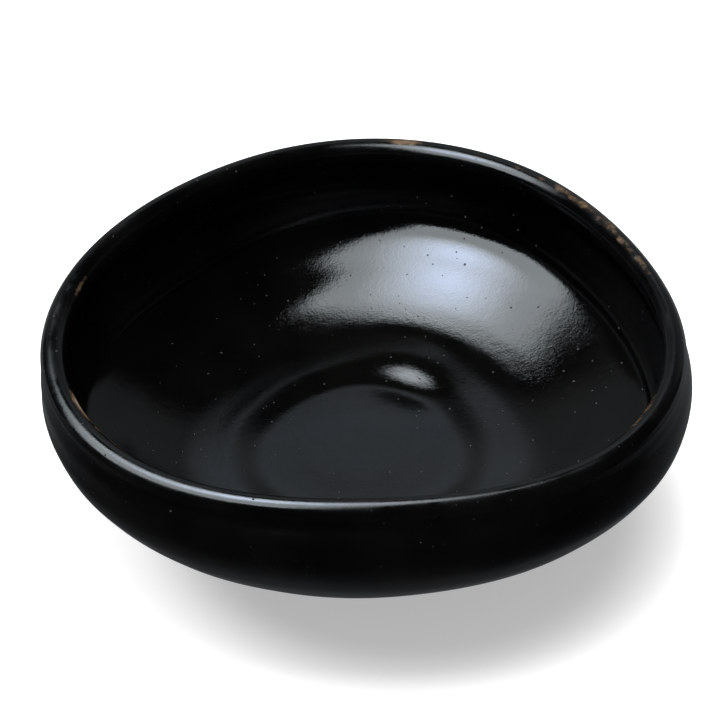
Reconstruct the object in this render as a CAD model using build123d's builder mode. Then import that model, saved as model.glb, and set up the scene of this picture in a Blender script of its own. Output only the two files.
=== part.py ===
from build123d import *
import math
import os

# A wide, shallow summer tea bowl. Millimetres, +Z up, standing on Z = 0 with the origin
# under the middle of the bowl. -Y is the side that faces the drinker.
# The bowl is thrown round and then pressed by hand into a soft three-cornered plan with
# a rim that rises and dips, so each form is a loft through closed rings.

# Driving sizes
rim_height = 51.5  # table to the crest of the lip, averaged round the rim
mouth_radius = 69.6  # to the middle of the rolled lip
lip_radius = 2.7  # half the thickness of the rolled lip
belly_swell = 2.1  # how far the belly stands out past the lip
belly_drop = 13.5  # crest of the lip down to the widest part of the belly
waist_drop = 2.0  # middle of the lip roll down to the groove under it
waist_depth = 0.6  # how far the groove is pressed in from the side of the lip
wall_thickness = 4.4
lower_wall = (0.50, 0.27)  # a place low on the wall: shares of the swell out and of the climb up
upper_wall = (0.83, 0.556)  # and one below the belly
inner_corner = (7.9, 0.606)  # inside turn into the floor: in from the belly, share of the climb
corner_bends = ((0.80, 0.68), (0.52, 0.33))  # shares out and up from there to the wall's inside
corner_slope = 53  # degrees from level, of the surface at that turn
foot_radius = 41.0  # outside of the foot ring, where it stands
foot_height = 6.0  # also the depth of the hollow inside the foot ring
foot_wall = 6.5  # thickness of the foot ring where it stands
foot_flare = 1.5  # the foot ring is this much wider where it meets the bowl
foot_edge = 0.8  # chamfer round the outside of the foot ring's base
foot_margin = 1.7  # the bowl's underside stands out this far past the foot ring
floor_thickness = 4.4
well_radius = 31.0  # shallow tea well in the middle of the floor, to its upper edge
well_depth = 1.3
well_slope = 7.0  # width of the well's sloping side
well_edge = 2.0  # width of the rounding beyond each edge of that side
floor_curve_power = 1.9  # how the floor climbs to the turn
glaze_thickness = 0.6
glaze_band = 6.5  # lip glaze, from the crest down, inside and outside
boss_radius = 11.0  # turned point in the middle of the underside
boss_height = 1.2
boss_slope = 60  # degrees from upright
glaze_tuck = 1.5  # the glaze's inner face meets the joint plane this many thicknesses in

# Hand forming: plan waves are shares of the radius, rim waves are millimetres,
# both as {waves round the bowl: (cosine part, sine part)}
plan_waves = {2: (0.0069, 0.0287), 3: (-0.0179, -0.0591), 4: (0.0077, -0.0063)}
rim_waves = {1: (-1.63, 0.45), 2: (1.83, -1.59), 3: (0.41, 1.65)}
rim_wave_power = 1.75  # how quickly the rim waves die away down the wall
foot_plan_share = 0.30  # how much of the plan waves the foot takes
belly_plan_share = 0.67  # and the belly; the lip takes them whole
mouth_lean = (-1.1, -2.0)  # centre of the mouth, off the centre of the belly
foot_shift = (-5.5, -2.5)  # centre of the foot, off the centre of the belly
centre = (-1.94, 1.66)  # brings the middle of the finished bowl's box to the origin
ring_points = 24
wall_steps = 14  # rings up the outside of the wall
inner_wall_end = 11  # step down to which the inside follows the outside

# Derived sizes
lip_height = rim_height - lip_radius
belly_height = rim_height - belly_drop
belly_radius = mouth_radius + lip_radius + belly_swell
waist_height = lip_height - waist_drop
waist_radius = mouth_radius + lip_radius - waist_depth
foot_top_radius = foot_radius + foot_flare
joint_radius = foot_top_radius + foot_margin
floor_height = foot_height + floor_thickness
well_bottom_radius = well_radius - well_slope
well_edge_radius = well_radius + well_edge
corner_radius = belly_radius - inner_corner[0]
corner_height = foot_height + inner_corner[1] * (belly_height - foot_height)

os.makedirs("parts", exist_ok=True)


def wave_sum(waves, angle):
    """Cosine and sine waves added up at an angle in radians."""
    return sum(c * math.cos(n * angle) + s * math.sin(n * angle) for n, (c, s) in waves.items())


def ring_points_at(radius, height, flat_height):
    """Points round a ring pressed out of round. A ring at flat_height has no rim wave."""
    if height > belly_height:
        part = min((height - belly_height) / (lip_height - belly_height), 1)
        share = belly_plan_share + (1 - belly_plan_share) * part
    else:
        part = 1 - (1 - height / belly_height) ** 2
        share = foot_plan_share + (belly_plan_share - foot_plan_share) * part
    rise = max((height - flat_height) / (rim_height - flat_height), 0) ** rim_wave_power
    low = max(1 - height / belly_height, 0) ** 2
    lean = height / rim_height
    x_shift = mouth_lean[0] * lean + foot_shift[0] * low - centre[0]
    y_shift = mouth_lean[1] * lean + foot_shift[1] * low - centre[1]
    points = []
    for step in range(ring_points):
        angle = 2 * math.pi * step / ring_points
        r = radius * (1 + share * wave_sum(plan_waves, angle))
        z = height + rise * wave_sum(rim_waves, angle)
        points.append((r * math.cos(angle) + x_shift, r * math.sin(angle) + y_shift, z))
    return points


# Outside of the wall, from the joint with the foot up to the groove under the lip
with BuildLine(Plane.XZ) as wall_line:
    swell = belly_radius - joint_radius
    climb = belly_height - foot_height
    Spline(
        (joint_radius, foot_height),
        (joint_radius + lower_wall[0] * swell, foot_height + lower_wall[1] * climb),
        (joint_radius + upper_wall[0] * swell, foot_height + upper_wall[1] * climb),
        (belly_radius, belly_height),
        (waist_radius, waist_height),
    )


def wall_point(share, depth):
    """(radius, height) at a share of the way up the wall, at a depth under its outside."""
    place = wall_line.line @ share
    run = wall_line.line % share
    return (place.X - run.Z * depth, place.Z + run.X * depth)


def half_section(depth):
    """(radius, height, height where the rim waves end) of each ring, at a depth under the surface.

    The rings go from the joint with the foot up the outside, over the lip and down
    the inside to the middle of the floor.
    """
    outside = [(joint_radius - glaze_tuck * depth, foot_height)]
    outside += [wall_point(step / wall_steps, depth) for step in range(1, wall_steps + 1)]
    roll = lip_radius - depth
    for degrees in (0, 22, 45, 68, 90):
        turn = math.radians(degrees)
        outside.append((mouth_radius + roll * math.cos(turn), lip_height + roll * math.sin(turn)))
    inside = []
    for degrees in (112, 135, 158, 180):
        turn = math.radians(degrees)
        inside.append((mouth_radius + roll * math.cos(turn), lip_height + roll * math.sin(turn)))
    for step in range(wall_steps, inner_wall_end - 1, -1):
        inside.append(wall_point(step / wall_steps, wall_thickness - depth))
    wall_radius, wall_height = inside[-1]
    turn_radius = corner_radius + depth * math.sin(math.radians(corner_slope))
    turn_height = corner_height - depth * math.cos(math.radians(corner_slope))
    for out, up in (*corner_bends, (0, 0)):
        radius = turn_radius + out * (wall_radius - turn_radius)
        height = turn_height + up * (wall_height - turn_height)
        inside.append((radius, height))
    well_top = floor_height + well_depth - depth
    for share in (0.8, 0.6, 0.4, 0.2):
        radius = well_edge_radius + share * (turn_radius - well_edge_radius)
        height = well_top + share**floor_curve_power * (turn_height - well_top)
        inside.append((radius, height))
    inside += [
        (well_edge_radius, well_top),
        (well_radius, well_top - 0.10 * well_depth),
        (well_radius - well_slope / 2, well_top - 0.50 * well_depth),
        (well_bottom_radius, well_top - 0.92 * well_depth),
        (well_bottom_radius - well_edge, well_top - well_depth),
    ]
    stations = [(radius, height, foot_height) for radius, height in outside]
    return stations + [(radius, height, floor_height - depth) for radius, height in inside]


def bowl_form(depth):
    """Solid of the whole bowl above its foot, at a depth under the glaze's surface."""
    rings = []
    for radius, height, flat_height in half_section(depth):
        points = ring_points_at(radius, height, flat_height)
        rings.append(Wire([Edge.make_spline(points, periodic=True)]))
    return Solid.make_loft(rings, ruled=True)


def flat_form(levels):
    """Solid through level rings, given as (radius, height)."""
    with BuildPart() as form:
        for radius, height in levels:
            with BuildSketch(Plane.XY.offset(height)):
                with BuildLine():
                    points = ring_points_at(radius, height, foot_height)
                    Spline(*[(x, y) for x, y, z in points], periodic=True)
                make_face()
        loft(ruled=True)
    return form.part


def above_rim_line(drop):
    """Solid of all that lies above a line that follows the rim, drop below its crest."""
    reach = 2 * belly_radius
    ceiling = 2 * rim_height

    def level(radius, height, wave):
        points = []
        for step in range(ring_points):
            angle = 2 * math.pi * step / ring_points
            z = height + wave * wave_sum(rim_waves, angle)
            points.append((radius * math.cos(angle), radius * math.sin(angle), z))
        return Wire([Edge.make_spline(points, periodic=True)])

    line_height = rim_height - drop
    return Solid.make_loft(
        [
            level(reach, ceiling, 0),
            level(reach, line_height, 1),
            level(foot_radius, line_height, 1),
            level(1, line_height, 0),
        ],
        ruled=True,
    )


glazed_form = bowl_form(0)
clay_form = bowl_form(glaze_thickness)
rim_region = above_rim_line(glaze_band)

# Clay body: wall, rolled lip and floor in one thrown piece, with the turned point under it
with BuildPart() as clay_body:
    add(clay_form)
    with BuildSketch(Plane.XY.offset(foot_height).rotated((180, 0, 0))):
        with Locations((foot_shift[0] - centre[0], centre[1] - foot_shift[1])):
            Circle(boss_radius)
    extrude(amount=boss_height, taper=boss_slope)

# Foot ring: turned clay ring, flared to the bowl, hollow inside
with BuildPart() as foot_ring:
    add(
        flat_form(
            [
                (foot_radius - foot_edge, 0),
                (foot_radius, foot_edge),
                (foot_top_radius, foot_height),
            ]
        )
    )
    hollow = flat_form([(foot_radius - foot_wall, 0), (foot_radius - foot_wall, foot_height)])
    add(hollow, mode=Mode.SUBTRACT)

# The glaze is one skin over the clay, cut into the three coats that were laid on it
with BuildPart() as glaze_skin:
    add(glazed_form)
    add(clay_form, mode=Mode.SUBTRACT)

with BuildPart() as lip_glaze:
    add(glaze_skin.part)
    add(rim_region, mode=Mode.INTERSECT)

with BuildPart() as wall_glazes:
    add(glaze_skin.part)
    add(rim_region, mode=Mode.SUBTRACT)

outer_coat, inner_coat = wall_glazes.solids().sort_by(lambda coat: coat.bounding_box().min.Z)

with BuildPart() as outer_glaze:
    add(outer_coat)

with BuildPart() as inner_glaze:
    add(inner_coat)

clay_body.part.label = "clay_body"
foot_ring.part.label = "foot_ring"
outer_glaze.part.label = "outer_glaze"
inner_glaze.part.label = "inner_glaze"
lip_glaze.part.label = "lip_glaze"

export_step(clay_body.part, "parts/clay_body.step")
export_step(foot_ring.part, "parts/foot_ring.step")
export_step(outer_glaze.part, "parts/outer_glaze.step")
export_step(inner_glaze.part, "parts/inner_glaze.step")
export_step(lip_glaze.part, "parts/lip_glaze.step")

for piece in (clay_body, foot_ring, outer_glaze, inner_glaze, lip_glaze):
    box = piece.part.bounding_box()
    print(piece.part.label, [round(v, 2) for v in (*box.min, *box.max)], piece.part.is_valid)
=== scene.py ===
"""Looks of a shallow summer tea bowl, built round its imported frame.

The bowl is thrown round and pressed by hand into a soft three-cornered plan with a rim
that rises and dips. Its skin is one profile, from the foot over the lip to the middle of
the floor, carried round the bowl on a numpy grid. Sizes are in metres.
"""

import logging
import math
from dataclasses import dataclass, field
from enum import Enum

import bpy
import numpy as np
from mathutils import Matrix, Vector


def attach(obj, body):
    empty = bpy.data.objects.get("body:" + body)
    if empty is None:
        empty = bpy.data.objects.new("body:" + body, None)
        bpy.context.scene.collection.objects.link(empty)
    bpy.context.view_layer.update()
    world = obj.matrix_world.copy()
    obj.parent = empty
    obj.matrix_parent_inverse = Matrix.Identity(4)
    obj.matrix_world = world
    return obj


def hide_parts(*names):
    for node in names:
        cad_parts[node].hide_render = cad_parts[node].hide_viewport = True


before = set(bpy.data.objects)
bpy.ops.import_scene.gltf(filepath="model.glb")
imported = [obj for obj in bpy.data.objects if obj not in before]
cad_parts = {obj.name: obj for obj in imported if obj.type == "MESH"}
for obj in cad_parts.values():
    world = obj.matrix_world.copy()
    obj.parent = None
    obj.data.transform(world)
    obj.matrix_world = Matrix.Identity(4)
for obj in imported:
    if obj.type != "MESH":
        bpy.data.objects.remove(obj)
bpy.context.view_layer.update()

MM = 0.001
FULL_TURN = 2 * math.pi
LOG = logging.getLogger("tea_bowl")


class Layer(Enum):
    """The bowl's pieces, by the CAD node that each one stands for."""

    CLAY = "clay_body"
    FOOT = "foot_ring"
    OUTSIDE = "outer_glaze"
    INSIDE = "inner_glaze"
    LIP = "lip_glaze"


@dataclass(frozen=True)
class Waves:
    """Cosine and sine waves round the bowl, each as (how many, cosine part, sine part)."""

    parts: tuple[tuple[int, float, float], ...]

    def at(self, angle: np.ndarray) -> np.ndarray:
        """Sum of the waves.

        Args:
            angle: Angles round the bowl, in radians.

        Returns:
            The sum at each angle, in the waves' own unit.
        """
        total = np.zeros_like(angle)
        for count, cosine, sine in self.parts:
            total = total + cosine * np.cos(count * angle) + sine * np.sin(count * angle)
        return total


@dataclass(frozen=True)
class Mark:
    """A place on the skin, by angle in degrees and distance past the crest, with its spread.

    A positive amount is a hollow where a finger pressed, or how thin the glaze ran.
    """

    degrees: float
    past_crest: float
    across: float
    along: float
    amount: float

    def at(self, angle: np.ndarray, past_crest: np.ndarray, radius: float) -> np.ndarray:
        """A Gaussian bell round the place.

        Args:
            angle: Angles round the bowl, in radians.
            past_crest: Distances past the crest along the profile.
            radius: Radius at which across is measured.

        Returns:
            The bell's height at each point.
        """
        turn = np.angle(np.exp(1j * (angle - math.radians(self.degrees))))
        spread = (turn * radius / self.across) ** 2 + ((past_crest - self.past_crest) / self.along) ** 2
        return self.amount * np.exp(-0.5 * spread)


def ease(value: np.ndarray) -> np.ndarray:
    """Goes from 0 to 1 with level ends, 3v^2 - 2v^3, and is held outside them.

    Args:
        value: The share of the way.

    Returns:
        The eased share.
    """
    v = np.clip(value, 0, 1)
    return v * v * (3 - 2 * v)


@dataclass(frozen=True)
class Curve:
    """A natural cubic spline through places, read by distance along its chords."""

    places: np.ndarray
    knots: np.ndarray
    bend: np.ndarray

    @classmethod
    def through(cls, places: np.ndarray) -> "Curve":
        """Solves for the second derivatives at the places, none at either end.

        Args:
            places: Points, one a row.

        Returns:
            The curve.
        """
        knots = np.concatenate([[0], np.cumsum(np.linalg.norm(np.diff(places, axis=0), axis=1))])
        gap = np.diff(knots)
        slope = np.diff(places, axis=0) / gap[:, None]
        matrix = np.eye(len(places))
        inner = np.arange(1, len(places) - 1)
        matrix[inner, inner - 1] = gap[:-1]
        matrix[inner, inner] = 2 * (gap[:-1] + gap[1:])
        matrix[inner, inner + 1] = gap[1:]
        right = np.zeros_like(places)
        right[1:-1] = 6 * np.diff(slope, axis=0)
        return cls(places, knots, np.linalg.solve(matrix, right))

    @property
    def length(self) -> float:
        """Length of the chords."""
        return float(self.knots[-1])

    def at(self, distance: np.ndarray) -> np.ndarray:
        """Points of the curve.

        Args:
            distance: Distances along the chords, held at both ends.

        Returns:
            Points, one a row.
        """
        s = np.clip(distance, 0, self.length)
        span = np.clip(np.searchsorted(self.knots, s, side="right") - 1, 0, len(self.knots) - 2)
        gap = (self.knots[span + 1] - self.knots[span])[:, None]
        b = (s - self.knots[span])[:, None] / gap
        a = 1 - b
        cubic = (a**3 - a) * self.bend[span] + (b**3 - b) * self.bend[span + 1]
        return a * self.places[span] + b * self.places[span + 1] + cubic * gap**2 / 6

    def normal(self, distance: np.ndarray) -> np.ndarray:
        """Unit vectors to the left of the way along the curve.

        Args:
            distance: Distances along the chords.

        Returns:
            Vectors, one a row.
        """
        step = 0.02 * MM
        run = self.at(distance + step) - self.at(distance - step)
        run /= np.linalg.norm(run, axis=1, keepdims=True)
        return np.stack([-run[:, 1], run[:, 0]], axis=1)


@dataclass
class BowlForm:
    """The bowl's sizes, its profile and the way it was pressed out of round."""

    rim_height: float = 51.5 * MM
    mouth_radius: float = 69.6 * MM
    lip_radius: float = 2.7 * MM
    belly_swell: float = 2.1 * MM
    belly_drop: float = 13.5 * MM
    waist_drop: float = 2.0 * MM
    waist_depth: float = 0.6 * MM
    wall_thickness: float = 4.4 * MM
    lower_wall: tuple[float, float] = (0.50, 0.27)
    upper_wall: tuple[float, float] = (0.83, 0.556)
    inner_corner: tuple[float, float] = (7.9 * MM, 0.606)
    corner_bends: tuple[tuple[float, float], ...] = ((0.80, 0.68), (0.52, 0.33), (0.0, 0.0))
    foot_radius: float = 41.0 * MM
    foot_height: float = 6.0 * MM
    foot_flare: float = 1.5 * MM
    foot_margin: float = 1.7 * MM
    floor_thickness: float = 4.4 * MM
    well_radius: float = 31.0 * MM
    well_depth: float = 1.3 * MM
    well_slope: float = 7.0 * MM
    well_edge: float = 2.0 * MM
    floor_curve_power: float = 1.9
    wall_steps: int = 14
    inner_wall_end: int = 11
    plan_waves: Waves = Waves(((2, 0.0069, 0.0287), (3, -0.0179, -0.0591), (4, 0.0077, -0.0063)))
    rim_waves: Waves = Waves(
        ((1, -1.63 * MM, 0.45 * MM), (2, 1.83 * MM, -1.59 * MM), (3, 0.41 * MM, 1.65 * MM))
    )
    rim_wave_power: float = 1.75
    foot_plan_share: float = 0.30
    belly_plan_share: float = 0.67
    mouth_lean: tuple[float, float] = (-1.1 * MM, -2.0 * MM)
    foot_shift: tuple[float, float] = (-5.5 * MM, -2.5 * MM)
    centre: tuple[float, float] = (-1.94 * MM, 1.66 * MM)
    profile: Curve = field(init=False)
    crest: float = field(init=False)

    def __post_init__(self) -> None:
        """Draws the profile and finds the distance along it to the crest."""
        places, crest = self.profile_places()
        self.profile = Curve.through(places)
        self.crest = float(self.profile.knots[crest])

    @property
    def lip_height(self) -> float:
        """Height of the middle of the lip's roll."""
        return self.rim_height - self.lip_radius

    @property
    def belly_height(self) -> float:
        """Height of the widest part of the belly."""
        return self.rim_height - self.belly_drop

    @property
    def belly_radius(self) -> float:
        """Radius of the widest part of the belly."""
        return self.mouth_radius + self.lip_radius + self.belly_swell

    @property
    def joint_radius(self) -> float:
        """Radius at which the wall meets the underside."""
        return self.foot_radius + self.foot_flare + self.foot_margin

    @property
    def floor_height(self) -> float:
        """Height of the bottom of the tea well."""
        return self.foot_height + self.floor_thickness

    def outer_wall(self) -> Curve:
        """The wall's outside: foot joint, two places below the belly, belly and groove.

        Returns:
            A curve of (radius, height), from the foot up.
        """
        swell = self.belly_radius - self.joint_radius
        climb = self.belly_height - self.foot_height
        below = [
            (self.joint_radius + out * swell, self.foot_height + up * climb)
            for out, up in ((0.0, 0.0), self.lower_wall, self.upper_wall, (1.0, 1.0))
        ]
        groove = (
            self.mouth_radius + self.lip_radius - self.waist_depth,
            self.lip_height - self.waist_drop,
        )
        return Curve.through(np.array([*below, groove]))

    def lip_roll(self, degrees: list[float]) -> np.ndarray:
        """Places round the lip's roll.

        Args:
            degrees: Turns from the outside of the roll, over its crest.

        Returns:
            The places as (radius, height).
        """
        turn = np.radians(degrees)
        way = np.stack([np.cos(turn), np.sin(turn)], axis=1)
        return np.array([self.mouth_radius, self.lip_height]) + self.lip_radius * way

    def profile_places(self) -> tuple[np.ndarray, int]:
        """Places that the half section goes through.

        Up the outside of the wall, round the lip, down the wall at its thickness, round
        the turn at its foot, along the floor's curve and through the tea well.

        Returns:
            The places as (radius, height), and which one is the crest.
        """
        wall = self.outer_wall()
        steps = np.linspace(0, wall.length, self.wall_steps + 1)
        back = steps[: self.inner_wall_end - 1 : -1]
        inside = wall.at(back) + wall.normal(back) * self.wall_thickness
        climb = self.belly_height - self.foot_height
        inset, rise = self.inner_corner
        corner = np.array([self.belly_radius - inset, self.foot_height + rise * climb])
        turn = corner + np.array(self.corner_bends) * (inside[-1] - corner)
        up_to_crest = np.concatenate([wall.at(steps), self.lip_roll([0, 22, 45, 68, 90])])
        well_top = self.floor_height + self.well_depth
        edge = self.well_radius + self.well_edge
        bottom = self.well_radius - self.well_slope
        share = np.linspace(0.8, 0.2, 4)
        floor = np.stack(
            [
                edge + share * (corner[0] - edge),
                well_top + share**self.floor_curve_power * (corner[1] - well_top),
            ],
            axis=1,
        )
        well = [
            (edge, 0.0),
            (self.well_radius, 0.10),
            (self.well_radius - self.well_slope / 2, 0.50),
            (bottom, 0.92),
            (bottom - self.well_edge, 1.0),
            (bottom / 2, 1.0),
            (0.0, 1.0),
        ]
        sunk = np.array([(radius, well_top - share * self.well_depth) for radius, share in well])
        parts = [up_to_crest, self.lip_roll([112, 135, 158, 180]), inside, turn, floor, sunk]
        return np.concatenate(parts), len(up_to_crest) - 1

    def press(
        self, radius: np.ndarray, height: np.ndarray, flat: np.ndarray, angle: np.ndarray
    ) -> np.ndarray:
        """Presses round rings into the bowl's plan.

        The radius is stretched by the plan waves, whole at the lip and less towards the
        foot. The height is lifted by the rim waves times a power of the height above
        flat. The middle moves with the mouth's lean and the foot's shift.

        Args:
            radius: Radii of the rings.
            height: Heights of the rings.
            flat: Heights at which the rim waves have died away.
            angle: Angles round the bowl.

        Returns:
            Points, with a last axis of three.
        """
        above = ease((height - self.belly_height) / (self.lip_height - self.belly_height))
        low = np.clip(1 - height / self.belly_height, 0, 1) ** 2
        share = self.belly_plan_share - (self.belly_plan_share - self.foot_plan_share) * low
        share = share + (1 - self.belly_plan_share) * above
        rise = np.clip((height - flat) / (self.rim_height - flat), 0, None) ** self.rim_wave_power
        lean = height / self.rim_height
        r = radius * (1 + share * self.plan_waves.at(angle))
        x = r * np.cos(angle) + self.mouth_lean[0] * lean + self.foot_shift[0] * low
        y = r * np.sin(angle) + self.mouth_lean[1] * lean + self.foot_shift[1] * low
        z = height + rise * self.rim_waves.at(angle)
        return np.stack([x - self.centre[0], y - self.centre[1], z], axis=-1)


@dataclass
class Skin:
    """The bowl's whole surface, with what hands, fire and tools left on it.

    Of the presses, all but the last two are outside. Those two dent the tea well's edge.
    """

    form: BowlForm
    presses: tuple[Mark, ...] = (
        Mark(205, -27 * MM, 10 * MM, 6 * MM, 0.45 * MM),
        Mark(219, -36 * MM, 11 * MM, 5 * MM, 0.50 * MM),
        Mark(233, -44 * MM, 12 * MM, 5 * MM, 0.45 * MM),
        Mark(214, -20 * MM, 9 * MM, 5 * MM, -0.20 * MM),
        Mark(252, -28 * MM, 16 * MM, 8 * MM, 0.30 * MM),
        Mark(283, -38 * MM, 18 * MM, 6 * MM, 0.30 * MM),
        Mark(318, -30 * MM, 14 * MM, 7 * MM, 0.35 * MM),
        Mark(340, -20 * MM, 10 * MM, 5 * MM, 0.20 * MM),
        Mark(22, -32 * MM, 15 * MM, 7 * MM, 0.35 * MM),
        Mark(75, -28 * MM, 16 * MM, 8 * MM, 0.35 * MM),
        Mark(130, -36 * MM, 14 * MM, 7 * MM, 0.40 * MM),
        Mark(168, -26 * MM, 13 * MM, 7 * MM, 0.35 * MM),
        Mark(63, 73 * MM, 19 * MM, 4.0 * MM, 0.74 * MM),
        Mark(71, 63 * MM, 17 * MM, 4.0 * MM, -0.54 * MM),
    )
    throwing_pitch: float = 6.5 * MM
    outside_ridge: float = 0.040 * MM
    inside_ridge: float = 0.012 * MM
    unevenness: float = 0.045 * MM

    @property
    def first(self) -> float:
        """Distance past the crest at which the skin starts, at the foot. It is negative."""
        return -self.form.crest

    @property
    def last(self) -> float:
        """Distance past the crest at which the skin ends, in the middle of the floor."""
        return self.form.profile.length - self.form.crest

    def insideness(self, past_crest: np.ndarray) -> np.ndarray:
        """Which side of the bowl a place is on.

        Args:
            past_crest: Distances past the crest.

        Returns:
            0 on the outside and 1 on the inside, easing over the roll of the lip.
        """
        half = 1.5 * self.form.lip_radius
        return ease((past_crest + half) / (2 * half))

    def relief(self, past_crest: np.ndarray, angle: np.ndarray) -> np.ndarray:
        """How far hands and tools pushed the surface in.

        Finger presses are Gaussian hollows. Throwing ridges are a shallow sine along the
        profile that moves on by one pitch in a turn. Unevenness is a product of slow
        sines along and around, and all of it but the presses dies away at the lip and in
        the middle of the floor.

        Args:
            past_crest: Distances past the crest.
            angle: Angles round the bowl.

        Returns:
            Depths below the bare profile.
        """
        inside = self.insideness(past_crest)
        reach = self.form.belly_radius
        pushed = sum(mark.at(angle, past_crest, reach) for mark in self.presses)
        spiral = np.sin(FULL_TURN * past_crest / self.throwing_pitch - angle)
        sway = 0.65 + 0.35 * np.sin(3 * angle + past_crest / (9 * MM))
        ridge = self.outside_ridge + (self.inside_ridge - self.outside_ridge) * inside
        slow = np.sin(past_crest / (4.3 * MM) + 2 * np.sin(2 * angle)) * np.sin(
            5 * angle + past_crest / (7.1 * MM)
        ) + 0.7 * np.sin(9 * angle - past_crest / (6.2 * MM))
        from_lip = ease(np.abs(past_crest) / (9 * MM) - 0.4)
        from_middle = ease((self.last - past_crest) / (42 * MM))
        uneven = self.unevenness * (1 - 0.6 * inside)
        return pushed + (ridge * spiral * sway + uneven * slow) * from_lip * from_middle

    def at(self, past_crest: np.ndarray, angle: np.ndarray, depth: np.ndarray) -> np.ndarray:
        """Points of the skin.

        The profile's place is moved in along the profile's normal by the depth and the
        relief, and the ring that it makes is then pressed out of round.

        Args:
            past_crest: Distances past the crest, one a ring.
            angle: Angles round the bowl, one a column.
            depth: How far each ring lies under the surface of the glaze.

        Returns:
            Points on a grid of rings by columns.
        """
        along = past_crest + self.form.crest
        place = self.form.profile.at(along)
        inward = self.form.profile.normal(along)
        push = self.relief(past_crest[:, None], angle[None, :]) + depth[:, None]
        radius = np.maximum(place[:, :1] + inward[:, :1] * push, 0)
        height = place[:, 1:] + inward[:, 1:] * push
        form = self.form
        flat = form.foot_height + form.floor_thickness * self.insideness(past_crest)[:, None]
        return form.press(radius, height, flat, np.broadcast_to(angle, push.shape))

    def normals(self, past_crest: float, angle: np.ndarray) -> np.ndarray:
        """Outward normals round one ring, by central differences along and around.

        Args:
            past_crest: The ring's distance past the crest.
            angle: Angles round the bowl.

        Returns:
            Unit vectors, one a column of the ring.
        """
        step = 0.05 * MM
        turn = step / self.form.belly_radius
        ring = np.array([past_crest])
        level = np.zeros(1)
        along = self.at(ring + step, angle, level) - self.at(ring - step, angle, level)
        around = self.at(ring, angle + turn, level) - self.at(ring, angle - turn, level)
        normal = np.cross(around[0], along[0])
        return normal / np.linalg.norm(normal, axis=1, keepdims=True)


@dataclass
class Shell:
    """Points and faces of a closed form made of rings round the bowl."""

    points: np.ndarray
    quads: np.ndarray
    triangles: np.ndarray
    fixed: dict[int, np.ndarray] = field(default_factory=dict)
    values: dict[str, np.ndarray] = field(default_factory=dict)

    @classmethod
    def from_rings(cls, rings: np.ndarray, capped: bool) -> "Shell":
        """Joins rings of points in order.

        Args:
            rings: Points on a grid of rings by columns.
            capped: True closes the first and last rings with a fan to their middles,
                and False joins the last ring to the first.

        Returns:
            The shell, with faces that look outwards.
        """
        count, columns = rings.shape[:2]
        row, column = np.meshgrid(
            np.arange(count - 1 if capped else count), np.arange(columns), indexing="ij"
        )
        after = (column + 1) % columns
        here, there = row * columns, ((row + 1) % count) * columns
        quads = np.stack([here + column, here + after, there + after, there + column], axis=-1)
        points = rings.reshape(-1, 3)
        triangles = np.zeros((0, 3), int)
        if capped:
            middles = np.stack([rings[0].mean(axis=0), rings[-1].mean(axis=0)])
            tip = len(points)
            points = np.concatenate([points, middles])
            column = np.arange(columns)
            after = (column + 1) % columns
            end = (count - 1) * columns
            low = np.stack([after, column, np.full(columns, tip)], axis=-1)
            high = np.stack([end + column, end + after, np.full(columns, tip + 1)], axis=-1)
            triangles = np.concatenate([low, high])
        shell = cls(points, quads.reshape(-1, 4), triangles)
        if shell.volume() < 0:
            shell.quads = shell.quads[:, ::-1]
            shell.triangles = shell.triangles[:, ::-1]
        return shell

    def volume(self) -> float:
        """Signed volume, positive if the faces look outwards."""
        split = np.concatenate([self.quads[:, :3], self.quads[:, [0, 2, 3]], self.triangles])
        a, b, c = (self.points[split[:, corner]] for corner in range(3))
        return float(np.einsum("ij,ij->", a, np.cross(b, c))) / 6

    def to_object(self, name: str) -> bpy.types.Object:
        """Makes a smooth object at the origin.

        Args:
            name: The object's name.

        Returns:
            The object, linked to the scene.
        """
        mesh = bpy.data.meshes.new(name)
        mesh.vertices.add(len(self.points))
        mesh.vertices.foreach_set("co", self.points.astype(np.float32).ravel())
        corners = np.concatenate([self.quads.ravel(), self.triangles.ravel()]).astype(np.int32)
        sizes = np.repeat([4, 3], [len(self.quads), len(self.triangles)])
        mesh.loops.add(len(corners))
        mesh.loops.foreach_set("vertex_index", corners)
        mesh.polygons.add(len(sizes))
        starts = np.concatenate([[0], np.cumsum(sizes)[:-1]]).astype(np.int32)
        mesh.polygons.foreach_set("loop_start", starts)
        mesh.polygons.foreach_set("use_smooth", np.ones(len(sizes), dtype=bool))
        mesh.update(calc_edges=True)
        for label, value in self.values.items():
            layer = mesh.attributes.new(label, "FLOAT", "POINT")
            layer.data.foreach_set("value", value.astype(np.float32))
        if self.fixed:
            normals = np.empty(len(self.points) * 3, np.float32)
            mesh.vertex_normals.foreach_get("vector", normals)
            normals = normals.reshape(-1, 3)
            for start, ring in self.fixed.items():
                normals[start : start + len(ring)] = ring
            mesh.normals_split_custom_set_from_vertices(normals.tolist())
        piece = bpy.data.objects.new(name, mesh)
        bpy.context.scene.collection.objects.link(piece)
        return piece


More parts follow.
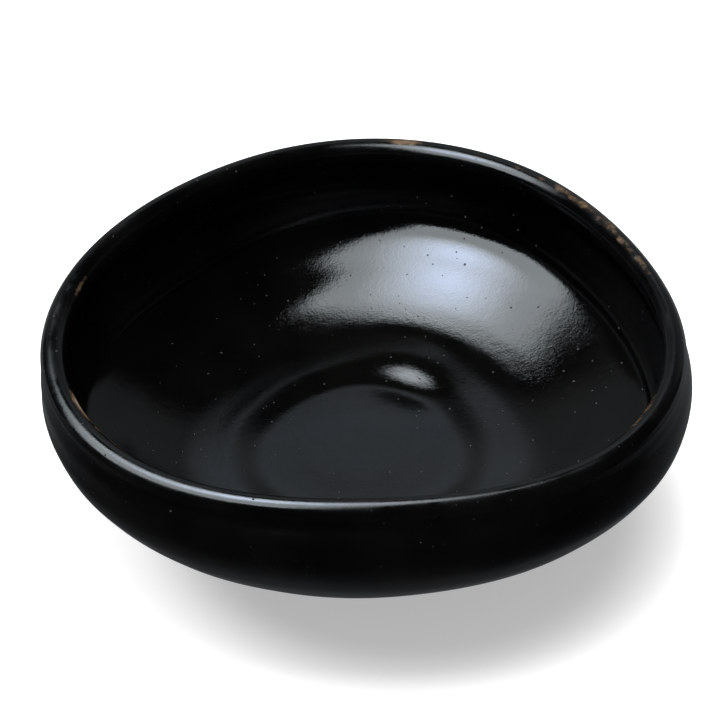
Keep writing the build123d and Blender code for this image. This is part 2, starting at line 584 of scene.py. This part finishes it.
@dataclass
class Coat:
    """One coat of glaze: a reach of the skin with the glaze's thickness under it."""

    layer: Layer
    start: float
    end: float
    rows: int
    columns: int = 480
    under_rows: int = 24
    thickness: float = 0.6 * MM
    bead: float = 1.1 * MM
    thin_places: tuple[Mark, ...] = ()
    thin_band: float = 1.5 * MM

    def bead_depth(self, skin: Skin, past_crest: np.ndarray) -> np.ndarray:
        """Depth of the top near the foot, where the glaze ends in a quarter-round bead.

        Args:
            skin: The surface that the coat is a reach of.
            past_crest: Distances past the crest.

        Returns:
            Depths under the surface.
        """
        share = np.clip((past_crest - skin.first) / self.bead, 0, 1)
        return self.thickness * (1 - np.sqrt(1 - (1 - share) ** 2))

    def thinness(self, past_crest: np.ndarray, angle: np.ndarray) -> np.ndarray:
        """How thin the glaze ran: a band along the crest, and more in the thin places.

        Args:
            past_crest: Distances past the crest.
            angle: Angles round the bowl.

        Returns:
            0 where the glaze is thick and 1 where it is bare.
        """
        band = 0.10 * np.exp(-(((past_crest - 0.4 * MM) / self.thin_band) ** 2))
        radius = 70 * MM
        places = sum(place.at(angle, past_crest, radius) for place in self.thin_places)
        return np.clip(band + places, 0, 1)

    def build(self, skin: Skin) -> bpy.types.Object:
        """Builds the coat. Its rings run along the top and back underneath.

        A coat that ends in the middle of the floor runs out underneath and back along
        the top, so that both of its tips are closed.

        Args:
            skin: The surface that the coat is a reach of.

        Returns:
            The finished piece.
        """
        start = max(self.start, skin.first)
        end = min(self.end, skin.last)
        at_foot = start <= skin.first
        at_middle = end >= skin.last
        angle = np.linspace(0, FULL_TURN, self.columns, endpoint=False)
        if at_foot:
            fine = skin.first + self.bead * (1 - np.cos(np.linspace(0, math.pi / 2, 9)))
            top = np.concatenate([fine[:-1], np.linspace(fine[-1], end, self.rows)])
            under = np.linspace(end, start, self.under_rows)[:-1]
        else:
            tip = end - 0.3 * MM if at_middle else end
            top = np.linspace(start, tip, self.rows)
            under = np.linspace(tip, start, self.under_rows)
        top_depth = self.bead_depth(skin, top)
        if at_middle:
            top, top_depth, under = top[::-1], top_depth[::-1], under[::-1]
        past = np.concatenate([top, under])
        depth = np.concatenate([top_depth, np.full_like(under, self.thickness)])
        shell = Shell.from_rings(skin.at(past, angle, depth), capped=at_middle)
        thin = self.thinness(past[:, None], angle[None, :]).ravel()
        shell.values["thinness"] = np.pad(thin, (0, len(shell.points) - len(thin)))
        if not at_foot:
            row = len(top) - 1 if at_middle else 0
            shell.fixed[row * self.columns] = skin.normals(start, angle)
        if not at_middle:
            shell.fixed[(len(top) - 1) * self.columns] = skin.normals(end, angle)
        return shell.to_object(self.layer.value + "_coat")


@dataclass
class ClayBody:
    """The thrown clay under the glaze: wall, lip, floor and the turned underside."""

    depth: float = 0.62 * MM
    rows: int = 150
    columns: int = 320
    underside_rows: int = 90
    boss_radius: float = 11.0 * MM
    boss_height: float = 1.2 * MM
    boss_run: float = 2.1 * MM
    turning_pitch: float = 1.9 * MM
    turning_depth: float = 0.07 * MM

    def underside(self, form: BowlForm, angle: np.ndarray) -> np.ndarray:
        """Rings of the underside, from the middle out to the wall.

        The height is the foot's height, less a boss that slopes away from the middle,
        plus a groove cut by the turning tool: a sine of the radius that moves on by one
        pitch in a turn.

        Args:
            form: The bowl's sizes.
            angle: Angles round the bowl.

        Returns:
            Points on a grid of rings by columns.
        """
        last = form.joint_radius - 1.5 * self.depth
        radius = np.linspace(0.4 * MM, last, self.underside_rows)[:, None]
        boss = self.boss_height * ease((self.boss_radius - radius) / self.boss_run)
        groove = 0.5 - 0.5 * np.cos(FULL_TURN * radius / self.turning_pitch - angle)
        inner = ease((radius - 1.5 * MM) / (2 * MM)) * ease((33.5 * MM - radius) / (1.5 * MM))
        lift = self.turning_depth * groove * inner
        level = np.full_like(radius, form.foot_height)
        flat = form.press(radius, level, level, np.broadcast_to(angle, (len(radius), len(angle))))
        flat[..., 2] += lift - boss
        return flat

    def build(self, skin: Skin) -> bpy.types.Object:
        """Builds the clay as one closed form.

        Args:
            skin: The glazed surface that the clay lies under.

        Returns:
            The finished piece.
        """
        angle = np.linspace(0, FULL_TURN, self.columns, endpoint=False)
        past = np.linspace(skin.first, skin.last - 0.3 * MM, self.rows)[1:]
        upper = skin.at(past, angle, np.full_like(past, self.depth))
        rings = np.concatenate([self.underside(skin.form, angle), upper])
        return Shell.from_rings(rings, capped=True).to_object(Layer.CLAY.value + "_form")


@dataclass
class FootRing:
    """The turned foot: a ring with softened edges, flared to the bowl."""

    columns: int = 320
    wall: float = 6.5 * MM
    edge: float = 0.8 * MM
    soft_steps: int = 7
    tool_depth: float = 0.06 * MM

    def section(self, form: BowlForm) -> np.ndarray:
        """The ring's section as (radius, height), round from the joint outside.

        Down the flare, round the outer edge, across the standing face, round the inner
        edge and up the hollow.

        Args:
            form: The bowl's sizes.

        Returns:
            Places of the section, in order.
        """
        turn = np.linspace(0, math.pi / 2, self.soft_steps)
        outer = form.foot_radius
        inner = outer - self.wall
        bevel = 0.5 * self.edge
        flare = np.linspace(form.foot_height, self.edge, 14)
        rise = (flare - self.edge) / (form.foot_height - self.edge)
        tooled = outer + rise * form.foot_flare
        tooled += self.tool_depth * np.sin(math.pi * rise) * np.sin(FULL_TURN * flare / (2.1 * MM))
        across = np.linspace(outer - self.edge, inner + bevel, 16)[1:]
        up = np.linspace(bevel, form.foot_height, 11)[1:]
        parts = [
            (tooled, flare),
            (outer - self.edge * (1 - np.cos(turn[1:])), self.edge * (1 - np.sin(turn[1:]))),
            (across, np.zeros_like(across)),
            (inner + bevel * (1 - np.sin(turn[1:])), bevel * (1 - np.cos(turn[1:]))),
            (np.full_like(up, inner), up),
        ]
        return np.concatenate([np.stack(part, axis=1) for part in parts])

    def build(self, skin: Skin) -> bpy.types.Object:
        """Builds the ring as one closed form.

        Args:
            skin: The bowl's surface, for its plan.

        Returns:
            The finished piece.
        """
        form = skin.form
        angle = np.linspace(0, FULL_TURN, self.columns, endpoint=False)
        section = self.section(form)
        height = np.broadcast_to(section[:, 1:], (len(section), self.columns))
        flat = np.full_like(height, form.foot_height)
        rings = form.press(section[:, :1], height, flat, np.broadcast_to(angle, height.shape))
        return Shell.from_rings(rings, capped=False).to_object(Layer.FOOT.value + "_form")


Colour = tuple[float, float, float]


@dataclass(frozen=True)
class GlazeFinish:
    """A fired black glaze."""

    name: str
    deep: Colour = (0.0008, 0.0009, 0.0011)
    pale: Colour = (0.0030, 0.0029, 0.0026)
    broken: Colour = (0.17, 0.105, 0.055)
    bare: Colour = (0.50, 0.43, 0.35)
    roughness: float = 0.060
    roughness_spread: float = 0.05
    peel: float = 0.018 * MM
    fine_peel: float = 0.024 * MM
    pit_share: float = 0.65
    break_amount: float = 0.0


@dataclass(frozen=True)
class ClayFinish:
    """Bare fired clay."""

    name: str
    colour: Colour = (0.060, 0.047, 0.038)
    speck: Colour = (0.022, 0.018, 0.016)
    roughness: float = 0.82
    grain: float = 0.05 * MM


class Graph:
    """Adds nodes to a node tree and joins them up."""

    def __init__(self, tree: bpy.types.NodeTree) -> None:
        """Takes the tree to work in."""
        self.tree = tree

    def add(self, kind: str, inputs: dict[str | int, object] | None = None, **settings: object):
        """Adds a node.

        Args:
            kind: The node's type name.
            inputs: Input sockets by name or index, each a constant or another socket.
            settings: Properties of the node.

        Returns:
            The node.
        """
        node = self.tree.nodes.new(kind)
        for label, value in settings.items():
            setattr(node, label, value)
        for socket, value in (inputs or {}).items():
            if isinstance(value, bpy.types.NodeSocket):
                self.tree.links.new(value, node.inputs[socket])
            else:
                node.inputs[socket].default_value = value
        return node

    def math(self, operation: str, a: object, b: object = 0.0, c: object = 0.0):
        """A maths node's output.

        Args:
            operation: The node's operation.
            a: First value or socket.
            b: Second value or socket.
            c: Third value or socket.

        Returns:
            The output socket.
        """
        return self.add("ShaderNodeMath", {0: a, 1: b, 2: c}, operation=operation).outputs[0]

    def between(self, value: object, low: float, high: float):
        """Eases a value from 0 at low to 1 at high.

        Args:
            value: The socket.
            low: Value that gives 0.
            high: Value that gives 1.

        Returns:
            The output socket.
        """
        inputs = {"Value": value, "From Min": low, "From Max": high}
        return self.add("ShaderNodeMapRange", inputs, interpolation_type="SMOOTHSTEP").outputs[0]

    def mix(self, share: object, first: object, second: object):
        """Mixes two colours.

        Args:
            share: Share of the second.
            first: First colour, or a socket.
            second: Second colour, or a socket.

        Returns:
            The output socket.
        """
        node = self.add("ShaderNodeMix", data_type="RGBA")
        for socket, value in ((0, share), (6, first), (7, second)):
            if isinstance(value, bpy.types.NodeSocket):
                self.tree.links.new(value, node.inputs[socket])
            elif socket:
                node.inputs[socket].default_value = (*value, 1.0)
            else:
                node.inputs[socket].default_value = value
        return node.outputs[2]

    def noise(self, place: object, scale: float, detail: float = 2.0, rough: float = 0.5):
        """A noise texture's value, about 0 to 1.

        Args:
            place: Socket of the place to read.
            scale: Lumps to a metre.
            detail: Number of finer layers.
            rough: How strong the finer layers are.

        Returns:
            The output socket.
        """
        inputs = {"Vector": place, "Scale": scale, "Detail": detail, "Roughness": rough}
        return self.add("ShaderNodeTexNoise", inputs).outputs[0]


def make_group(name: str, inputs: dict[str, float], outputs: list[str]) -> tuple[Graph, object]:
    """Starts a shader node group of float values.

    Args:
        name: The group's name.
        inputs: Its inputs and their defaults.
        outputs: Its outputs.

    Returns:
        A graph of the group's tree, and its input node.
    """
    tree = bpy.data.node_groups.new(name, "ShaderNodeTree")
    for label, value in inputs.items():
        socket = tree.interface.new_socket(label, in_out="INPUT", socket_type="NodeSocketFloat")
        socket.default_value = value
    for label in outputs:
        tree.interface.new_socket(label, in_out="OUTPUT", socket_type="NodeSocketFloat")
    graph = Graph(tree)
    return graph, graph.add("NodeGroupInput")


def glaze_group() -> bpy.types.NodeTree:
    """Values shared by the glazes.

    Height is two sizes of orange peel less small pits. Pits is 1 in a pinhole: the
    middle of a few cells, picked by each cell's own random value. Cloud and Streak are
    slow changes of tone and of sheen.
    """
    graph, given = make_group(
        "glaze_skin",
        {"Peel": 0.006 * MM, "Fine peel": 0.002 * MM, "Pit share": 0.15},
        ["Height", "Pits", "Cloud", "Streak"],
    )
    place = graph.add("ShaderNodeTexCoord").outputs["Object"]
    coarse = graph.noise(place, 620.0, 1.5)
    fine = graph.noise(place, 2300.0, 2.0, 0.6)
    swell = graph.noise(place, 170.0, 1.0)
    cell = graph.add("ShaderNodeTexVoronoi", {"Vector": place, "Scale": 430.0})
    pick = graph.add("ShaderNodeSeparateColor", {0: cell.outputs["Color"]})
    chosen = graph.math("LESS_THAN", pick.outputs[0], given.outputs["Pit share"])
    size = graph.math("MULTIPLY_ADD", pick.outputs[1], 0.10, 0.050)
    hole = graph.math("SUBTRACT", 1.0, graph.math("DIVIDE", cell.outputs["Distance"], size))
    pits = graph.math("MULTIPLY", chosen, graph.between(hole, 0.0, 0.5))
    height = graph.math("MULTIPLY", coarse, given.outputs["Peel"])
    height = graph.math("MULTIPLY_ADD", fine, given.outputs["Fine peel"], height)
    height = graph.math("MULTIPLY_ADD", swell, 0.010 * MM, height)
    height = graph.math("MULTIPLY_ADD", pits, -0.10 * MM, height)
    cloud = graph.between(graph.noise(place, 38.0, 3.0), 0.35, 0.65)
    streak = graph.between(graph.noise(place, 95.0, 4.0, 0.6), 0.38, 0.66)
    graph.add("NodeGroupOutput", {"Height": height, "Pits": pits, "Cloud": cloud, "Streak": streak})
    return graph.tree


def glaze_material(finish: GlazeFinish, shared: bpy.types.NodeTree) -> bpy.types.Material:
    """A glossy black glaze that breaks to brown where it ran thin.

    Args:
        finish: The glaze.
        shared: The group of values that the glazes share.

    Returns:
        The material.
    """
    material = bpy.data.materials.new(finish.name)
    material.use_nodes = True
    graph = Graph(material.node_tree)
    shader = material.node_tree.nodes["Principled BSDF"]
    skin = graph.add("ShaderNodeGroup", node_tree=shared)
    skin.inputs["Peel"].default_value = finish.peel
    skin.inputs["Fine peel"].default_value = finish.fine_peel
    skin.inputs["Pit share"].default_value = finish.pit_share
    place = graph.add("ShaderNodeTexCoord").outputs["Object"]
    colour = graph.mix(skin.outputs["Cloud"], finish.deep, finish.pale)
    roughness = graph.math(
        "MULTIPLY_ADD", skin.outputs["Streak"], finish.roughness_spread, finish.roughness
    )
    if finish.break_amount:
        thin = graph.add("ShaderNodeAttribute", attribute_name="thinness").outputs["Fac"]
        patch = graph.noise(place, 210.0, 4.0, 0.65)
        amount = graph.math("MULTIPLY_ADD", patch, 1.6, -0.8)
        amount = graph.math("MULTIPLY_ADD", thin, 1.25 * finish.break_amount, amount)
        amount = graph.math("MULTIPLY", amount, graph.between(thin, 0.02, 0.2))
        colour = graph.mix(graph.between(amount, 0.12, 0.62), colour, finish.broken)
        colour = graph.mix(graph.between(amount, 0.70, 1.1), colour, finish.bare)
        roughness = graph.math("MULTIPLY_ADD", graph.between(amount, 0.1, 0.7), 0.25, roughness)
    roughness = graph.math("MULTIPLY_ADD", skin.outputs["Pits"], 0.5, roughness)
    bump = graph.add(
        "ShaderNodeBump", {"Strength": 1.0, "Distance": 1.0, "Height": skin.outputs["Height"]}
    )
    links = material.node_tree.links
    links.new(colour, shader.inputs["Base Color"])
    links.new(roughness, shader.inputs["Roughness"])
    links.new(bump.outputs[0], shader.inputs["Normal"])
    shader.inputs["IOR"].default_value = 1.52
    return material


def clay_material(finish: ClayFinish) -> bpy.types.Material:
    """Dry, dark fired clay with a sandy grain.

    Args:
        finish: The clay.

    Returns:
        The material.
    """
    material = bpy.data.materials.new(finish.name)
    material.use_nodes = True
    graph = Graph(material.node_tree)
    shader = material.node_tree.nodes["Principled BSDF"]
    place = graph.add("ShaderNodeTexCoord").outputs["Object"]
    grain = graph.noise(place, 1500.0, 4.0, 0.7)
    cloud = graph.noise(place, 60.0, 3.0)
    specks = graph.between(graph.noise(place, 2600.0, 2.0), 0.60, 0.68)
    tone = graph.mix(cloud, finish.colour, tuple(0.7 * part for part in finish.colour))
    colour = graph.mix(specks, tone, finish.speck)
    height = graph.math("MULTIPLY", grain, finish.grain)
    bump = graph.add("ShaderNodeBump", {"Strength": 1.0, "Distance": 1.0, "Height": height})
    links = material.node_tree.links
    links.new(colour, shader.inputs["Base Color"])
    links.new(bump.outputs[0], shader.inputs["Normal"])
    shader.inputs["Roughness"].default_value = finish.roughness
    return material


@dataclass
class Studio:
    """A pale floor and its key light, a softbox, a low screen behind, and the camera."""

    floor_radius: float = 3.0
    floor_tone: float = 0.72
    # The floor glows as painted light: this strong inside a painted shadow round the bowl, 0.50 more
    # outside it. The next line is that painted shadow's middle.
    painted_shadow_glow: float = 0.40
    painted_shadow_middle: tuple[float, float, float] = (11.0 * MM, -14.0 * MM, 0.0)
    box_corners: tuple[tuple[float, float], ...] = (
        (0.57, 0.74), (0.57, -0.76), (-1.10, -0.76), (-1.10, -0.05), (-0.27, 0.79)
    )
    box_centre: tuple[float, float, float] = (-0.540, -0.204, 0.95)
    box_turn: float = -27.0
    box_power: float = 17.0
    box_middle: tuple[float, float, float] = (0.10, 0.38, 0.0)
    screen_centre: tuple[float, float, float] = (0.15, 1.0, 0.535)
    screen_size: tuple[float, float] = (2.4, 1.07)
    screen_power: float = 0.55
    key_size: float = 0.60
    key_centre: tuple[float, float, float] = (-0.155, 0.11, 0.90)
    key_power: float = 7.0
    target: tuple[float, float, float] = (1.94 * MM, -1.66 * MM, 28.0 * MM)
    camera_distance: float = 0.9
    camera_elevation: float = 39.0
    lens: float = 189.15
    shift: tuple[float, float] = (-0.01656, 0.0377)

    @staticmethod
    def oblong(width: float, height: float) -> tuple[tuple[float, float], ...]:
        """Corners of an oblong about the origin, clockwise.

        Args:
            width: Its width.
            height: Its height.

        Returns:
            The corners.
        """
        u, v = width / 2, height / 2
        return ((u, v), (u, -v), (-u, -v), (-u, v))

    def panel(
        self,
        name: str,
        corners: tuple[tuple[float, float], ...],
        place: tuple[float, float, float],
    ) -> bpy.types.Object:
        """A flat panel that looks down.

        Args:
            name: The panel's name.
            corners: Its corners, clockwise from above.
            place: Where its own origin stands.

        Returns:
            The panel.
        """
        mesh = bpy.data.meshes.new(name)
        mesh.from_pydata([(u, v, 0.0) for u, v in corners], [], [tuple(range(len(corners)))])
        panel = bpy.data.objects.new(name, mesh)
        panel.location = place
        bpy.context.scene.collection.objects.link(panel)
        return panel

    def surface(self, name: str) -> tuple[bpy.types.Material, Graph, object]:
        """Starts a material without its usual shader.

        Args:
            name: The material's name.

        Returns:
            The material, its graph and its surface socket.
        """
        material = bpy.data.materials.new(name)
        material.use_nodes = True
        nodes = material.node_tree.nodes
        nodes.remove(nodes["Principled BSDF"])
        return material, Graph(material.node_tree), nodes["Material Output"].inputs["Surface"]

    def floor(self) -> bpy.types.Object:
        """The floor: a pale disc, whose painted reflection falls into the dark in front.

        It glows from within as painted light, dimmer in a painted soft shadow round the bowl. It is
        clear from below, so that the foot can be looked at.
        """
        angle = np.linspace(0, FULL_TURN, 128, endpoint=False)
        points = np.stack([np.cos(angle), np.sin(angle), 0 * angle], axis=1) * self.floor_radius
        mesh = bpy.data.meshes.new("floor")
        mesh.from_pydata(points.tolist(), [], [tuple(range(len(points)))])
        floor = bpy.data.objects.new("floor", mesh)
        floor.location.z = -0.05 * MM
        bpy.context.scene.collection.objects.link(floor)
        material, graph, end = self.surface("floor_painted_light")
        place = graph.add("ShaderNodeTexCoord").outputs["Object"]
        apart = graph.add("ShaderNodeSeparateXYZ", {0: place})
        # Painted reflection: to glossy rays the floor glows, more behind the bowl and a little next to
        # it, instead of showing its own light and shade.
        painted_reflection_rear = graph.between(apart.outputs[1], -0.10, 0.25)
        away = graph.add("ShaderNodeVectorMath", {0: place}, operation="LENGTH").outputs["Value"]
        near = graph.math("SUBTRACT", 1.0, graph.between(away, 0.06, 0.10))
        painted_reflection_glow = graph.math("MULTIPLY_ADD", painted_reflection_rear, 0.40, graph.math("MULTIPLY", near, 0.06))
        matt = graph.add("ShaderNodeBsdfDiffuse", {"Color": (*(self.floor_tone,) * 3, 1.0)})
        # Painted shadow: the floor's own glowing light is weaker within a few centimetres of the
        # painted shadow's middle.
        ends = {0: place, 1: self.painted_shadow_middle}
        reach = graph.add("ShaderNodeVectorMath", ends, operation="DISTANCE").outputs["Value"]
        lift = graph.math("MULTIPLY_ADD", graph.between(reach, 0.046, 0.072), 0.50, self.painted_shadow_glow)
        painted_shadow_light = graph.add("ShaderNodeEmission", {"Strength": lift})
        paint = graph.add("ShaderNodeAddShader", {0: matt.outputs[0], 1: painted_shadow_light.outputs[0]})
        painted_reflection = graph.add(
            "ShaderNodeEmission", {"Color": (0.86, 0.93, 1.0, 1.0), "Strength": painted_reflection_glow}
        )
        path = graph.add("ShaderNodeLightPath")
        shares = {0: path.outputs["Is Glossy Ray"], 1: paint.outputs[0], 2: painted_reflection.outputs[0]}
        both = graph.add("ShaderNodeMixShader", shares)
        below = graph.add("ShaderNodeNewGeometry").outputs["Backfacing"]
        clear = graph.add("ShaderNodeBsdfTransparent")
        sides = {0: below, 1: both.outputs[0], 2: clear.outputs[0]}
        graph.tree.links.new(graph.add("ShaderNodeMixShader", sides).outputs[0], end)
        mesh.materials.append(material)
        return floor

    def light_up(
        self,
        panel: bpy.types.Object,
        colour: Colour,
        power: float,
        middle: tuple[float, float, float] = (0.0, 0.0, 0.0),
        fall: float = 0.0,
    ) -> None:
        """Gives a panel light that is strongest at one place.

        Args:
            panel: The panel.
            colour: Colour of the light at that place. It pales away from there.
            power: Strength at that place.
            middle: The place, in the panel's own frame.
            fall: Share of the strength lost at one metre from it, down to three tenths.
        """
        material, graph, end = self.surface(panel.name + "_light")
        place = graph.add("ShaderNodeTexCoord").outputs["Object"]
        away = graph.add("ShaderNodeVectorMath", {0: place, 1: middle}, operation="DISTANCE")
        share = graph.math("MULTIPLY_ADD", away.outputs["Value"], -fall, 1.0)
        share = graph.math("MAXIMUM", share, 0.3)
        tint = graph.mix(graph.between(share, 0.3, 1.0), (0.92, 1.0, 1.05), colour)
        strength = graph.math("MULTIPLY", share, power)
        light = graph.add("ShaderNodeEmission", {"Color": tint, "Strength": strength})
        graph.tree.links.new(light.outputs[0], end)
        panel.data.materials.append(material)
        panel.visible_camera = False

    def sky(self) -> None:
        """White where the camera looks past the floor, and near dark as light."""
        world = bpy.data.worlds.new("studio")
        bpy.context.scene.world = world
        world.use_nodes = True
        graph = Graph(world.node_tree)
        path = graph.add("ShaderNodeLightPath")
        background = world.node_tree.nodes["Background"]
        shade = graph.math("MULTIPLY_ADD", path.outputs["Is Camera Ray"], 0.99, 0.01)
        shade = graph.math("MULTIPLY_ADD", path.outputs["Is Diffuse Ray"], 0.24, shade)
        world.node_tree.links.new(shade, background.inputs["Strength"])
        background.inputs["Color"].default_value = (1.0, 1.0, 1.0, 1.0)

    def camera(self) -> None:
        """The camera, a long lens looking down at the mouth of the bowl."""
        elevation = math.radians(self.camera_elevation)
        back = Vector((0, -math.cos(elevation), math.sin(elevation)))
        lens = bpy.data.cameras.new("camera")
        lens.lens = self.lens
        lens.sensor_width = 36.0
        lens.shift_x, lens.shift_y = self.shift
        lens.clip_start = 0.05
        camera = bpy.data.objects.new("camera", lens)
        camera.location = Vector(self.target) + back * self.camera_distance
        camera.rotation_euler = back.to_track_quat("Z", "Y").to_euler()
        bpy.context.scene.collection.objects.link(camera)
        bpy.context.scene.camera = camera

    def build(self) -> None:
        """Sets up the whole studio."""
        floor = self.floor()
        softbox = self.panel("softbox", self.box_corners, self.box_centre)
        softbox.rotation_euler.z = math.radians(self.box_turn)
        self.light_up(softbox, (0.86, 1.0, 1.28), self.box_power, self.box_middle, 1.9)
        screen = self.panel("screen", self.oblong(*self.screen_size), self.screen_centre)
        screen.rotation_euler.x = math.pi / 2
        self.light_up(screen, (0.88, 1.0, 1.15), self.screen_power, (-0.15, 0.28, 0.0), 2.2)
        key = self.panel("key", self.oblong(self.key_size, self.key_size), self.key_centre)
        self.light_up(key, (1.0, 1.0, 1.0), self.key_power)
        softbox.visible_diffuse = screen.visible_diffuse = key.visible_glossy = False
        self.sky()
        self.camera()
        bpy.context.scene.view_settings.view_transform = "Standard"


def place_piece(piece: bpy.types.Object, layer: Layer, finish: bpy.types.Material) -> None:
    """Ties a piece to the frame and gives it its finish.

    Args:
        piece: The new piece.
        layer: The CAD node that it stands for.
        finish: Its material.
    """
    piece.data.materials.append(finish)
    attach(piece, "root")
    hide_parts(layer.value)
    triangles = sum(len(face.vertices) - 2 for face in piece.data.polygons)
    LOG.info("%s: %d triangles, for %s", piece.name, triangles, layer.value)


def main() -> None:
    """Builds the bowl from the clay out, then the studio."""
    logging.basicConfig(level=logging.INFO, format="%(name)s: %(message)s")
    columns = 480
    band = 6.5 * MM
    skin = Skin(BowlForm())
    shared = glaze_group()
    clay = clay_material(ClayFinish("fired_clay"))
    foot_clay = clay_material(ClayFinish("foot_clay", colour=(0.050, 0.040, 0.034)))
    outside = glaze_material(GlazeFinish("black_glaze_outside", roughness=0.13), shared)
    inside = glaze_material(GlazeFinish("black_glaze_inside"), shared)
    lip_finish = GlazeFinish("lip_glaze", roughness=0.13, roughness_spread=0.14, break_amount=0.9)
    lip = glaze_material(lip_finish, shared)
    thin_places = (
        Mark(207, 2.6 * MM, 4 * MM, 0.6 * MM, 0.80),
        Mark(218, 3.0 * MM, 5 * MM, 0.5 * MM, 0.45),
        Mark(174, 2.6 * MM, 2.5 * MM, 0.5 * MM, 0.55),
        Mark(330, 2.4 * MM, 6 * MM, 0.6 * MM, 0.30),
        Mark(84, 0.0 * MM, 2.2 * MM, 0.7 * MM, 0.62),
        Mark(35, 0.2 * MM, 18 * MM, 1.0 * MM, 0.19),
    )
    place_piece(ClayBody().build(skin), Layer.CLAY, clay)
    place_piece(FootRing().build(skin), Layer.FOOT, foot_clay)
    coats = (
        (Coat(Layer.OUTSIDE, -1.0, -band, 120, columns), "black_glaze_outside", outside),
        (Coat(Layer.INSIDE, band, 1.0, 168, columns), "black_glaze_inside", inside),
        (Coat(Layer.LIP, -band, band, 52, columns, thin_places=thin_places), "lip_glaze", lip),
    )
    for coat, slot, finish in coats:
        place_piece(coat.build(skin), coat.layer, finish)
    Studio().build()


if __name__ == "__main__":
    main()
